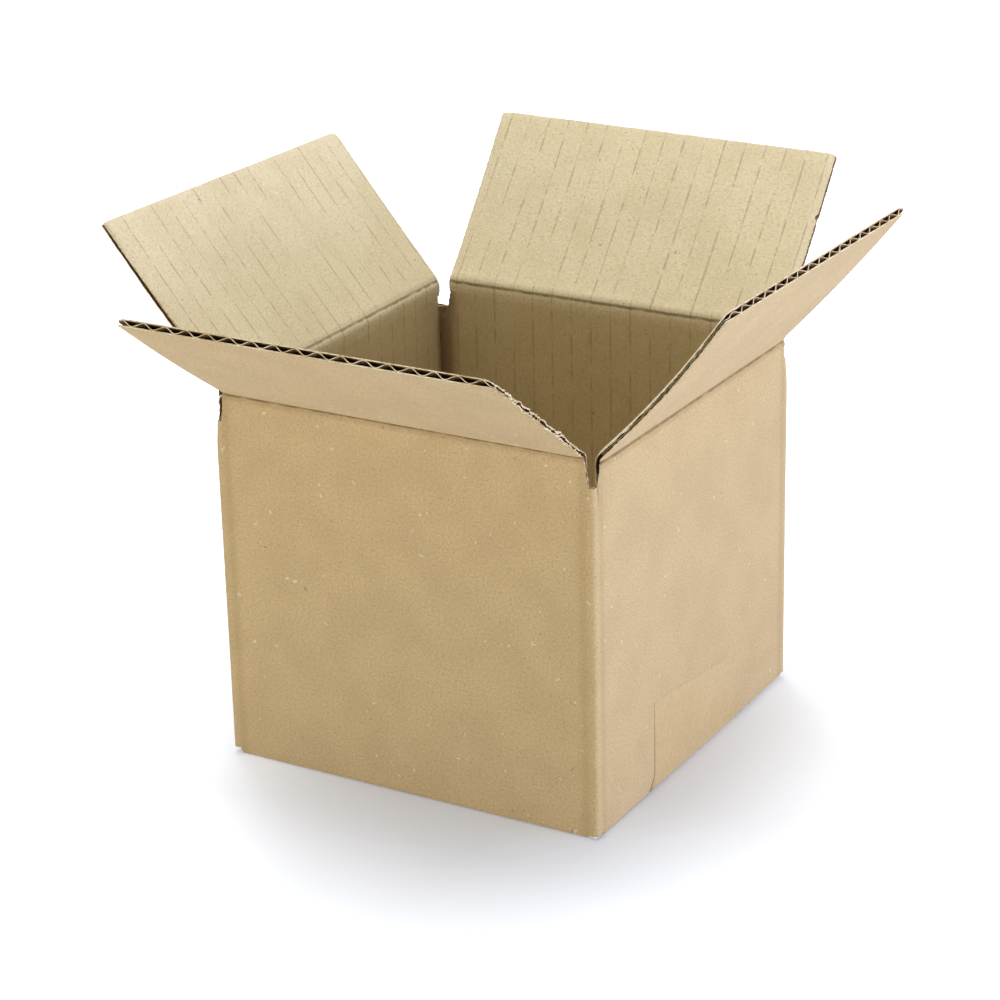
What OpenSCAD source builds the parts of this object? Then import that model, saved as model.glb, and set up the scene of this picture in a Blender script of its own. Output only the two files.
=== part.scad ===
// Open corrugated shipping box: one slotted, folded and glued blank whose four top
// flaps stand splayed outwards, with its bottom flaps folded shut under a strip of tape.
// The origin is the centre of the footprint on the ground. X runs along the front wall,
// the front wall faces -Y, and Z is up.

/* [Box] */
// Outside length, along the front and back walls
box_l = 116; // [80:1:240]
// Outside width, along the two side walls
box_w = 116; // [80:1:240]
// Height of the side walls' top crease above the ground
side_crease_h = 105; // [60:1:240]
// Inside radius of the four upright corners
corner_in_r = 0.3; // [0.2:0.1:0.8]
// Outside radius of the folds along the bottom edges
fold_r = 1.6; // [0.8:0.1:1.8]

/* [Board] */
// Thickness of the corrugated board
board_t = 2.2; // [1.8:0.1:3]
// Thickness of each of the two flat facing sheets
liner_t = 0.25; // [0.2:0.05:0.4]
// Thickness of the waved sheet between them
medium_t = 0.25; // [0.2:0.05:0.4]
// Distance from one flute to the next
flute_pitch = 6.5; // [4:0.1:9]

/* [Flaps] */
// Gap that two opposite flaps leave between them when they are closed
closing_gap = 6; // [1:0.5:12]
// Distance from a corner to the side edge of a flap beside it
flap_inset = 2.6; // [2.6:0.1:8]
// The same distance at the left end of the front flap
front_flap_left_inset = 3.2; // [2.6:0.1:8]
// The same distance at the front end of the right flap
right_flap_front_inset = 3.5; // [2.6:0.1:8]
// The same distance at the left end of the back flap
back_flap_left_inset = 5; // [2.6:0.1:8]
// Depth of the top slots below the side walls' crease
slot_depth = 6; // [4:0.5:14]
// Clearance between flaps that lie on each other when closed
layer_gap = 0.1; // [0.05:0.05:0.5]
// Clearance between a crease line and the board on each side of it
crease_clear = 0.1; // [0.05:0.05:0.3]
// Length of the crushed, solid band beside each top crease
crease_band = 4; // [3.5:0.5:8]

/* [Splay from upright] */
// Front flap
front_splay = 54; // [0:1:120]
// Right flap
right_splay = 40; // [0:1:120]
// Back flap
back_splay = 42; // [0:1:120]
// Left flap
left_splay = 39; // [0:1:120]

/* [Cut edges] */
// Depth of the open flute seen at the upright edges of the slots
slot_edge_depth = 1.5; // [0.5:0.5:3]
// Depth of the open flute seen at the bottom of the slots
slot_floor_depth = 1.5; // [0.5:0.5:3]
// Height of the corner posts' lower ends above the ground
post_lift = 1.5; // [0.5:0.1:3]

/* [Glue tab] */
// Width of the tab that joins the back wall to the right wall
tab_w = 30; // [15:1:40]
// Rise of the tab's bevelled ends
tab_bevel = 8; // [2:1:15]
// Height of the tab's lower end above the inner bottom flap
tab_lift = 1.5; // [0.5:0.5:6]

/* [Tape] */
// Width of the strip of tape
tape_w = 50.8; // [24:0.2:60]
// Thickness of the tape
tape_t = 0.1; // [0.05:0.05:0.3]
// Height of the right tail at its front edge
right_tail_front_h = 27; // [12:1:50]
// Height of the right tail at its back edge
right_tail_back_h = 21; // [12:1:50]
// Height of the left tail
left_tail_h = 24; // [12:1:50]

/* [Hidden] */

kraft_wall = [0.74, 0.64, 0.46];
kraft_flap = [0.80, 0.71, 0.55];
tape_brown = [0.70, 0.60, 0.43];

half_l = box_l / 2;
half_w = box_w / 2;

// A flap ends where the round of the corner begins or before, so it passes beside its
// neighbours.
corner_r = board_t + corner_in_r;
side_inset = max(flap_inset, corner_r);

// Each wall is drawn as the front one, and turned into its place. A span is the part of
// its length that its flaps take, from its left end to its right, seen from outside.
front_span = [max(front_flap_left_inset, corner_r) - half_l, half_l - side_inset];
right_span = [max(right_flap_front_inset, corner_r) - half_w, half_w - side_inset];
back_span = [side_inset - half_l, half_l - max(back_flap_left_inset, corner_r)];
left_span = [side_inset - half_w, half_w - side_inset];

// All flaps are cut to one length. Inner flaps are shorter only in a box whose side
// walls are longer than its front wall.
outer_flap_l = (box_w - closing_gap) / 2;
inner_flap_l = min(outer_flap_l, (box_l - closing_gap) / 2);

// The outer flaps fold over the inner ones, so their creases are one layer further out.
layer = board_t + layer_gap;
outer_crease_h = side_crease_h + layer;
outer_floor_z = tape_t;
inner_floor_z = tape_t + layer;
slot_z = side_crease_h - slot_depth;

// Overlap of pieces of board that are bonded to each other.
bond = 0.1;
wave_amplitude = board_t / 2 - liner_t - medium_t / 2 + bond;
wave_steps = 8;

// Extra length of a cutting shape past the surface that it cuts.
past = 0.5;

function wave_y(x) = board_t / 2 + wave_amplitude * cos(360 * x / flute_pitch);

// Cross-section of the board across its flutes. X is along the board, and Y runs from
// the outside face at 0 to the inside face at board_t.
module board_section(span) {
    width = span[1] - span[0];
    steps = ceil(width / flute_pitch * wave_steps);
    xs = [for (i = [0:steps]) span[0] + i * width / steps];
    translate([span[0], 0])
        square([width, liner_t]);
    translate([span[0], board_t - liner_t])
        square([width, liner_t]);
    polygon(concat(
        [for (x = xs) [x, wave_y(x) - medium_t / 2]],
        [for (i = [steps:-1:0]) [xs[i], wave_y(xs[i]) + medium_t / 2]]));
}

// Extrudes an outline drawn in Y and Z along X over a span.
module along_x(span) {
    translate([span[0], 0, 0])
        rotate([90, 0, 90])
            linear_extrude(height = span[1] - span[0])
                children();
}

// Moves a shape drawn behind the plane y = 0 to one of the four walls. A turn of 0 is the
// front wall, 90 the right, 180 the back and 270 the left.
module on_wall(turn, half_depth) {
    rotate([0, 0, turn])
        translate([0, -half_depth, 0])
            children();
}

// A top flap standing upright on its crease, which lies along X at the origin. Its lower
// end is mitred, so that it can close inwards by a right angle.
module top_flap(span, length) {
    along_x(span)
        polygon([
            [0, crease_clear],
            [board_t, crease_clear + board_t],
            [board_t, crease_band],
            [0, crease_band]]);
    translate([0, 0, crease_band])
        linear_extrude(height = length - crease_band)
            board_section(span);
}

// A top flap on its wall, leaning outwards.
module splayed_flap(turn, half_depth, crease_h, splay, span, length) {
    on_wall(turn, half_depth)
        translate([0, 0, crease_h])
            rotate([splay, 0, 0])
                top_flap(span, length);
}

// Outline in Y and Z of a wall and the bottom flap folded in under it. The top is mitred
// on the inside, for the top flap to close over.
module panel_outline(crease_h, floor_z, floor_l) {
    polygon([
        [0, floor_z + fold_r],
        [board_t, floor_z + fold_r],
        [board_t, crease_h - crease_clear - board_t],
        [0, crease_h - crease_clear]]);
    translate([fold_r, floor_z])
        square([floor_l - fold_r, board_t]);
    translate([fold_r, floor_z + fold_r])
        intersection() {
            circle(fold_r, $fn = 64);
            translate([-fold_r, -fold_r])
                square(fold_r);
        }
}

// A wall with its bottom flap. The upright edges beside the top slots show the open flute
// between the two facing sheets.
module panel(span, crease_h, floor_z, floor_l) {
    open_h = crease_h - board_t - slot_z;
    cut_offset = (past - slot_edge_depth) / 2;
    difference() {
        along_x(span)
            panel_outline(crease_h, floor_z, floor_l);
        for (x = [span[0] - cut_offset, span[1] + cut_offset])
            translate([x, board_t / 2, slot_z + open_h / 2])
                cube([slot_edge_depth + past, board_t - 2 * liner_t, open_h], center = true);
    }
}

// A rectangle with round corners, centred on the origin.
module round_rectangle(length, width, radius) {
    square([length - 2 * radius, width], center = true);
    square([length, width - 2 * radius], center = true);
    for (x = [-1, 1], y = [-1, 1])
        translate([x * (length / 2 - radius), y * (width / 2 - radius)])
            circle(radius, $fn = 48);
}

// The band of board between two depths below the outside face, seen from above.
module wall_ring(outer_depth, inner_depth) {
    difference() {
        round_rectangle(box_l - 2 * outer_depth, box_w - 2 * outer_depth, corner_r - outer_depth);
        round_rectangle(box_l - 2 * inner_depth, box_w - 2 * inner_depth, corner_r - inner_depth);
    }
}

// The space at one corner between the side edges of the flaps on its two walls. It
// reaches into the walls, so that the post made in it is bonded to them.
module corner_zone(x_side, y_side, x_inset, y_inset) {
    reach_x = x_inset + bond;
    reach_y = y_inset + bond;
    translate([
        x_side * (half_l - reach_x / 2),
        y_side * (half_w - reach_y / 2),
        side_crease_h / 2])
        cube([reach_x, reach_y, side_crease_h], center = true);
}

// The four rounded corner posts below the top slots, with the open flute at their tops.
module corner_posts() {
    intersection() {
        difference() {
            translate([0, 0, post_lift])
                linear_extrude(height = slot_z - post_lift)
                    wall_ring(0, board_t);
            translate([0, 0, slot_z - slot_floor_depth])
                linear_extrude(height = slot_floor_depth + past)
                    wall_ring(liner_t, board_t - liner_t);
        }
        union() {
            corner_zone(1, -1, half_l - front_span[1], half_w + right_span[0]);
            corner_zone(1, 1, half_l + back_span[0], half_w - right_span[1]);
            corner_zone(-1, 1, half_l - back_span[1], half_w + left_span[0]);
            corner_zone(-1, -1, half_l + front_span[0], half_w - left_span[1]);
        }
    }
}

// The tab of the back wall that is glued to the inside of the right wall. Its ends slope,
// so that it stays clear of the flaps.
module glue_tab() {
    low = inner_floor_z + board_t + tab_lift;
    root = half_w - board_t + bond;
    tip = half_w - board_t - tab_w;
    translate([half_l - 2 * board_t, 0, 0])
        rotate([90, 0, 90])
            linear_extrude(height = board_t + bond)
                polygon([
                    [root, low],
                    [root, slot_z],
                    [tip, slot_z - tab_bevel],
                    [tip, low + tab_bevel]]);
}

module box_body() {
    color(kraft_wall) {
        on_wall(0, half_w)
            panel(front_span, outer_crease_h, outer_floor_z, outer_flap_l);
        on_wall(90, half_l)
            panel(right_span, side_crease_h, inner_floor_z, inner_flap_l);
        on_wall(180, half_w)
            panel(back_span, outer_crease_h, outer_floor_z, outer_flap_l);
        on_wall(270, half_l)
            panel(left_span, side_crease_h, inner_floor_z, inner_flap_l);
        corner_posts();
        glue_tab();
    }
}

module front_flap() {
    color(kraft_flap)
        splayed_flap(0, half_w, outer_crease_h, front_splay, front_span, outer_flap_l);
}

module right_flap() {
    color(kraft_flap)
        splayed_flap(90, half_l, side_crease_h, right_splay, right_span, inner_flap_l);
}

module back_flap() {
    color(kraft_flap)
        splayed_flap(180, half_w, outer_crease_h, back_splay, back_span, outer_flap_l);
}

module left_flap() {
    color(kraft_flap)
        splayed_flap(270, half_l, side_crease_h, left_splay, left_span, inner_flap_l);
}

// One half of the tape's outline in X and Z, from the middle of the bottom, across the step
// between the outer and inner bottom flaps, round the fold and up to the height of the tail.
// The step is at the side edge of the outer flaps.
module half_tape_outline(outer_flap_inset, tail_h) {
    centre = [half_l - fold_r, inner_floor_z + fold_r];
    step_corner = [half_l - outer_flap_inset, tape_t];
    reach = step_corner - centre;
    leave_angle = atan2(reach[1], reach[0]) + acos(fold_r / norm(reach));
    arc_steps = 4;
    turn = -leave_angle / arc_steps;
    // The bend is drawn just outside the round of the fold, so the tape doesn't cut into it.
    grow = 1 / cos(turn / 2);
    arc = [for (i = [0:arc_steps]) leave_angle + i * turn];
    normal = [cos(leave_angle), sin(leave_angle)];
    outer_step_x = (centre * normal + fold_r * grow + tape_t) / normal[0];
    polygon(concat(
        [[0, tape_t], step_corner],
        [for (a = arc) centre + fold_r * grow * [cos(a), sin(a)]],
        [[half_l, tail_h], [half_l + tape_t, tail_h]],
        [for (i = [arc_steps:-1:0]) centre + (fold_r * grow + tape_t) * [cos(arc[i]), sin(arc[i])]],
        [[outer_step_x, 0], [0, 0]]));
}

// One half of the tape, right of the middle, with a tail that can end on a slant.
module half_tape(outer_flap_inset, tail_front_h, tail_back_h) {
    tail_h = max(tail_front_h, tail_back_h);
    slant = atan2(tail_back_h - tail_front_h, tape_w);
    difference() {
        rotate([90, 0, 0])
            linear_extrude(height = tape_w, center = true)
                half_tape_outline(outer_flap_inset, tail_h);
        translate([half_l, 0, (tail_front_h + tail_back_h) / 2])
            rotate([slant, 0, 0])
                translate([-past, -tape_w, 0])
                    cube([2 * past, 2 * tape_w, tape_w]);
    }
}

module bottom_tape() {
    right_step_inset = min(half_l - front_span[1], half_l + back_span[0]);
    left_step_inset = min(half_l + front_span[0], half_l - back_span[1]);
    color(tape_brown) {
        half_tape(right_step_inset, right_tail_front_h, right_tail_back_h);
        mirror([1, 0, 0])
            half_tape(left_step_inset, left_tail_h, left_tail_h);
    }
}

box_body();
front_flap();
right_flap();
back_flap();
left_flap();
bottom_tape();
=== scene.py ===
"""Looks of an open corrugated shipping box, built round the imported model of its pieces.

The walls, flaps and tab are true single-wall board: an outer facing sheet, a waved sheet
and an inner facing sheet, each a thin closed skin. Lengths in this file are millimetres
until a mesh is made, and metres from there on.
"""

import logging
import math
from dataclasses import dataclass, field, replace
from enum import Enum

import bpy
import numpy as np
from mathutils import Matrix, Vector


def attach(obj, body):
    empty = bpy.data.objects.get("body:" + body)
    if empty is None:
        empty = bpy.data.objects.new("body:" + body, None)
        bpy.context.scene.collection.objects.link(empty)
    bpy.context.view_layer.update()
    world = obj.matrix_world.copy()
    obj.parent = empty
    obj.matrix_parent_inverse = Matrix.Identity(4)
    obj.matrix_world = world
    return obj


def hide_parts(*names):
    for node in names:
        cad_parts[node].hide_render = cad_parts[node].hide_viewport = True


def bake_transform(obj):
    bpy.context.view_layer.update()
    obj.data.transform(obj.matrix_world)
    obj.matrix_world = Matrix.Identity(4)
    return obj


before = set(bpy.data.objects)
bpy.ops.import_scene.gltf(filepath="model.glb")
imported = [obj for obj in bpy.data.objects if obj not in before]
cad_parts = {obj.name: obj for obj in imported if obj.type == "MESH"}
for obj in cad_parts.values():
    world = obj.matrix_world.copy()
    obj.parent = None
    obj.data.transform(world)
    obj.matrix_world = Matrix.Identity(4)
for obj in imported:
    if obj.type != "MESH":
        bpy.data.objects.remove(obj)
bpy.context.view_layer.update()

LOG = logging.getLogger("shipping_box")
MM = 0.001
BOARD_UV = "board"
# Point attribute of painted shade: darkening that stands in for shade in corners, on inside walls, under
# creases and at tape edges.
PAINTED_SHADE = "painted_shade"

Array = np.ndarray
Colour = tuple[int, int, int]
Ends = tuple[float, float]
# The wall's number, the place along it and the turn into its right corner, at each column.
Columns = tuple[Array, Array, Array]

# Places closer than this, in millimetres, count as one.
SAME_PLACE = 1e-4
WHITE = (1.0, 1.0, 1.0, 1.0)

# Radius of the arc that the board's middle follows round an upright corner.
CORNER_R = 2.5


class Side(Enum):
    """The four walls, by the turn in degrees that brings the front wall to each."""

    FRONT = 0
    RIGHT = 90
    BACK = 180
    LEFT = 270


# Small shape helpers.


def smooth_step(x: Array) -> Array:
    """Gives 3x^2 - 2x^3 with x held between 0 and 1."""
    held = np.clip(x, 0.0, 1.0)
    return held * held * (3.0 - 2.0 * held)


def mix(a: Array, b: Array, share: Array) -> Array:
    """Goes straight from a to b as share goes from 0 to 1."""
    return a + (b - a) * share


def hump(x: Array, centre: float, width: float) -> Array:
    """Gives a bell curve, exp(-((x - centre) / width)^2)."""
    return np.exp(-(((x - centre) / width) ** 2))


def fade(distance: Array, reach: float) -> Array:
    """Falls straight from 1 at no distance to 0 at reach."""
    return np.clip(1 - distance / reach, 0, 1)


def torn_line(place: Array, amount: float, spacing: float, seed: int) -> Array:
    """Offsets of a torn edge: random heights at even knots, joined by straight lines.

    Args:
        place: Distance along the edge.
        amount: Largest offset either way.
        spacing: Distance between two knots.
        seed: Number that the random heights start from.

    Returns:
        One offset for each place.
    """
    random = np.random.default_rng(seed)
    knots = np.arange(place.min() - spacing, place.max() + 2 * spacing, spacing)
    return np.interp(place, knots, random.uniform(-amount, amount, knots.size))


def spread(low: float, high: float, step: float, near_ends: tuple[float, ...]) -> Array:
    """Places from low to high at an even step, with closer ones near both ends.

    Args:
        low: First place.
        high: Last place.
        step: Greatest distance between two places.
        near_ends: Distances from each end that get a place of their own.

    Returns:
        The places in rising order.
    """
    margin = max(near_ends, default=0.0)
    count = max(2, int(math.ceil((high - low - 2 * margin) / step)) + 1)
    middle = np.linspace(low + margin, high - margin, count)
    ends = np.array(near_ends)
    return np.unique(np.concatenate([[low], low + ends, middle, high - ends, [high]]).round(5))


# Meshes of thin skins.


class Paint(Enum):
    """Material numbers of a skin's face, back and cut edge, in the order of its materials."""

    OUTER_SHEET = (0, 2, 4)
    INNER_SHEET = (1, 2, 4)
    WAVED_SHEET = (3, 3, 4)
    TAPE = (0, 0, 0)


@dataclass
class SkinMesh:
    """Collects thin closed skins and makes one mesh of them.

    A skin is given by two grids of points, its face and its back. The face, the back and
    the cut edge between them may each have a material of their own.
    """

    points: list[Array] = field(default_factory=list)
    quads: list[Array] = field(default_factory=list)
    paints: list[Array] = field(default_factory=list)
    board_places: list[Array] = field(default_factory=list)
    # Painted shade of each point, from 0 to 1.
    shade_marks: list[Array] = field(default_factory=list)
    count: int = 0
    sharp_deg: float = 38.0

    def add(
        self,
        face: Array,
        back: Array,
        board_place: Array,
        paint: Paint,
        cells: Array | None = None,
        shade_marks: Array | None = None,
    ) -> None:
        """Adds a skin: the face's quads, the back's, and a rim wherever cells end.

        A rim quad joins an edge of the face that only one kept cell has to the same edge
        of the back. The whole skin is turned round if its face would look inwards.

        Args:
            face: Grid of points, columns by rows by 3.
            back: The same for the back.
            board_place: Grid of places on the board, columns by rows by 2.
            paint: Materials of the face, the back and the cut edge.
            cells: Which cells of the grid are kept, or None for all.
            shade_marks: How much painted shade each point has, or None for none.
        """
        columns, rows = face.shape[:2]
        keep = np.ones((columns - 1, rows - 1), bool) if cells is None else cells
        number = np.arange(columns * rows).reshape(columns, rows)
        under = columns * rows
        a, b = number[:-1, :-1][keep], number[1:, :-1][keep]
        c, d = number[1:, 1:][keep], number[:-1, 1:][keep]
        face_quads = np.stack([a, b, c, d], axis=1)
        back_quads = np.stack([d, c, b, a], axis=1) + under
        rim_edges = self._rim_edges(number, keep)
        rim_quads = np.concatenate([rim_edges[:, ::-1], rim_edges + under], axis=1)
        quads = np.concatenate([face_quads, back_quads, rim_quads])
        places = np.concatenate([face.reshape(-1, 3), back.reshape(-1, 3)])
        corner = places[face_quads]
        normal = np.cross(corner[:, 2] - corner[:, 0], corner[:, 3] - corner[:, 1])
        outward = places[face_quads[:, 0]] - places[face_quads[:, 0] + under]
        if np.sum(normal * outward) < 0:
            quads = quads[:, ::-1]
        used, compact = np.unique(quads, return_inverse=True)
        paints = np.repeat(paint.value, [len(face_quads), len(back_quads), len(rim_quads)])
        board = np.concatenate([board_place.reshape(-1, 2)] * 2)
        plain = np.zeros((columns, rows)) if shade_marks is None else shade_marks
        self.shade_marks.append(np.tile(plain.ravel(), 2)[used])
        self.points.append(places[used])
        self.quads.append(compact.reshape(-1, 4) + self.count)
        self.paints.append(paints)
        self.board_places.append(board[used])
        self.count += len(used)

    @staticmethod
    def _rim_edges(number: Array, keep: Array) -> Array:
        """Edges of kept cells that no other kept cell has, in the cell's own direction.

        Args:
            number: Point numbers of the grid.
            keep: Which cells are kept.

        Returns:
            Pairs of point numbers.
        """
        padded = np.pad(keep, 1)
        low_side = keep & ~padded[1:-1, :-2]
        high_side = keep & ~padded[1:-1, 2:]
        first_side = keep & ~padded[:-2, 1:-1]
        last_side = keep & ~padded[2:, 1:-1]
        a, b = number[:-1, :-1], number[1:, :-1]
        c, d = number[1:, 1:], number[:-1, 1:]
        pairs = [(low_side, a, b), (last_side, b, c), (high_side, c, d), (first_side, d, a)]
        return np.concatenate([np.stack([s[m], e[m]], axis=1) for m, s, e in pairs])

    def build(self, name: str, materials: list[bpy.types.Material]) -> bpy.types.Object:
        """Makes the object, in metres, with its place on the board as a UV map.

        Args:
            name: Name of the object and its mesh.
            materials: Materials in the order of their numbers.

        Returns:
            The new object, linked to the scene.
        """
        points = np.concatenate(self.points) * MM
        quads = np.concatenate(self.quads).astype(np.int32)
        mesh = bpy.data.meshes.new(name)
        mesh.vertices.add(len(points))
        mesh.vertices.foreach_set("co", points.astype(np.float32).ravel())
        mesh.loops.add(quads.size)
        mesh.loops.foreach_set("vertex_index", quads.ravel())
        mesh.polygons.add(len(quads))
        mesh.polygons.foreach_set("loop_start", np.arange(len(quads), dtype=np.int32) * 4)
        for material in materials:
            mesh.materials.append(material)
        paints = np.concatenate(self.paints).astype(np.int32)
        mesh.polygons.foreach_set("material_index", paints)
        board = np.concatenate(self.board_places)[quads.ravel()]
        layer = mesh.uv_layers.new(name=BOARD_UV)
        layer.data.foreach_set("uv", board.astype(np.float32).ravel())
        shade_marks = mesh.attributes.new(PAINTED_SHADE, "FLOAT", "POINT")
        shade_marks.data.foreach_set("value", np.concatenate(self.shade_marks).astype(np.float32))
        mesh.update(calc_edges=True)
        mesh.validate()
        mesh.shade_smooth()
        mesh.set_sharp_from_angle(angle=math.radians(self.sharp_deg))
        made = bpy.data.objects.new(name, mesh)
        bpy.context.scene.collection.objects.link(made)
        return made


# Shader graphs.


def linear(colour: Colour) -> tuple[float, float, float, float]:
    """Turns a colour as seen on a screen, 0 to 255, into the linear one that a shader takes.

    Args:
        colour: Red, green and blue as seen.

    Returns:
        Linear red, green, blue and an opacity of 1.
    """
    seen = np.array(colour) / 255.0
    value = np.where(seen <= 0.04045, seen / 12.92, ((seen + 0.055) / 1.055) ** 2.4)
    return (float(value[0]), float(value[1]), float(value[2]), 1.0)


Socket = bpy.types.NodeSocket


class Graph:
    """Short calls that add nodes to one material, or to the world, and join them."""

    def __init__(self, owner: bpy.types.Material | bpy.types.World) -> None:
        """Starts with no nodes.

        Args:
            owner: The material or world that the nodes belong to.
        """
        self.owner = owner
        owner.use_nodes = True
        self.tree = owner.node_tree
        self.tree.nodes.clear()

    def node(self, kind: str, inputs: dict | None = None, **settings: object) -> bpy.types.Node:
        """Adds a node.

        Args:
            kind: Blender's name for the node's type.
            inputs: Values or sockets by input name or number.
            settings: Properties of the node.

        Returns:
            The node.
        """
        made = self.tree.nodes.new(kind)
        for key, value in settings.items():
            setattr(made, key, value)
        for key, value in (inputs or {}).items():
            if isinstance(value, Socket):
                self.tree.links.new(value, made.inputs[key])
            else:
                made.inputs[key].default_value = value
        return made

    def math(self, operation: str, *values: object, clamp: bool = False) -> Socket:
        """Adds a sum of one to three values, and gives its result."""
        inputs = dict(enumerate(values))
        return self.node("ShaderNodeMath", inputs, operation=operation, use_clamp=clamp).outputs[0]

    def noise(
        self, vector: Socket, scale: float, detail: float = 2.0, roughness: float = 0.5
    ) -> Socket:
        """Adds a noise pattern, and gives its value from 0 to 1."""
        inputs = {"Vector": vector, "Scale": scale, "Detail": detail, "Roughness": roughness}
        return self.node("ShaderNodeTexNoise", inputs).outputs["Fac"]

    def times(self, first: object, second: object) -> Socket:
        """Multiplies two numbers."""
        return self.math("MULTIPLY", first, second)

    def ramp(self, value: Socket, low: float, high: float, start: float = 0.0, end: float = 1.0) -> Socket:
        """Eases from start to end as value goes from low to high."""
        inputs = {"Value": value, "From Min": low, "From Max": high, "To Min": start, "To Max": end}
        return self.node("ShaderNodeMapRange", inputs, interpolation_type="SMOOTHSTEP").outputs["Result"]

    def blend(self, share: object, first: object, second: object) -> Socket:
        """Mixes two colours, and gives the mix."""
        inputs = {0: share, 6: first, 7: second}
        return self.node("ShaderNodeMix", inputs, data_type="RGBA", blend_type="MIX").outputs[2]

    def object_place(self) -> Socket:
        """The place on the object, in metres."""
        return self.node("ShaderNodeTexCoord").outputs["Object"]

    def board_place(self) -> tuple[Socket, Socket, Socket]:
        """Gives the place on the board, counted in flutes.

        Returns:
            The whole place, and its two numbers: across the flutes and along them.
        """
        whole = self.node("ShaderNodeUVMap", uv_map=BOARD_UV).outputs["UV"]
        split = self.node("ShaderNodeSeparateXYZ", {0: whole})
        return whole, split.outputs[0], split.outputs[1]

    def mark(self) -> Socket:
        """How much painted shade the surface has, from 0 to 1: darkening that stands in for shade."""
        return self.node("ShaderNodeAttribute", attribute_name=PAINTED_SHADE).outputs["Fac"]

    def vector(self, x: object, y: object, z: object = 0.0) -> Socket:
        """Joins three numbers into a vector."""
        return self.node("ShaderNodeCombineXYZ", {0: x, 1: y, 2: z}).outputs[0]

    def bump(self, height: Socket, strength: float, distance: float) -> Socket:
        """Turns a height into a normal. The distance is in metres."""
        inputs = {"Height": height, "Strength": strength, "Distance": distance}
        return self.node("ShaderNodeBump", inputs).outputs["Normal"]

    def seen(self) -> Socket:
        """Tells a ray that shows a surface from one that only lights the box.

        Returns:
            1 for a ray that shows a surface, and 0 for one that lights.
        """
        path = self.node("ShaderNodeLightPath").outputs
        direct = self.math("MAXIMUM", path["Is Camera Ray"], path["Is Glossy Ray"])
        return self.math("MAXIMUM", direct, path["Is Transmission Ray"])

    def surface(
        self, colour: Socket, roughness: Socket, normal: Socket, specular: float, more: dict | None = None
    ) -> bpy.types.Material:
        """Ends the material in one opaque surface.

        Args:
            colour: Colour of the surface.
            roughness: Its roughness.
            normal: Its normal, with bumps.
            specular: Strength of its shine.
            more: Other values of the shader by name, or None.

        Returns:
            The finished material.
        """
        base = {"Base Color": colour, "Roughness": roughness, "Normal": normal}
        inputs = {**base, "Specular IOR Level": specular, **(more or {})}
        shader = self.node("ShaderNodeBsdfPrincipled", inputs)
        self.node("ShaderNodeOutputMaterial", {"Surface": shader.outputs[0]})
        return self.owner


@dataclass(frozen=True)
class Speck:
    """A kind of small bit in the paper."""

    per_metre: float
    size: float
    share: float
    colour: Colour


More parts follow.
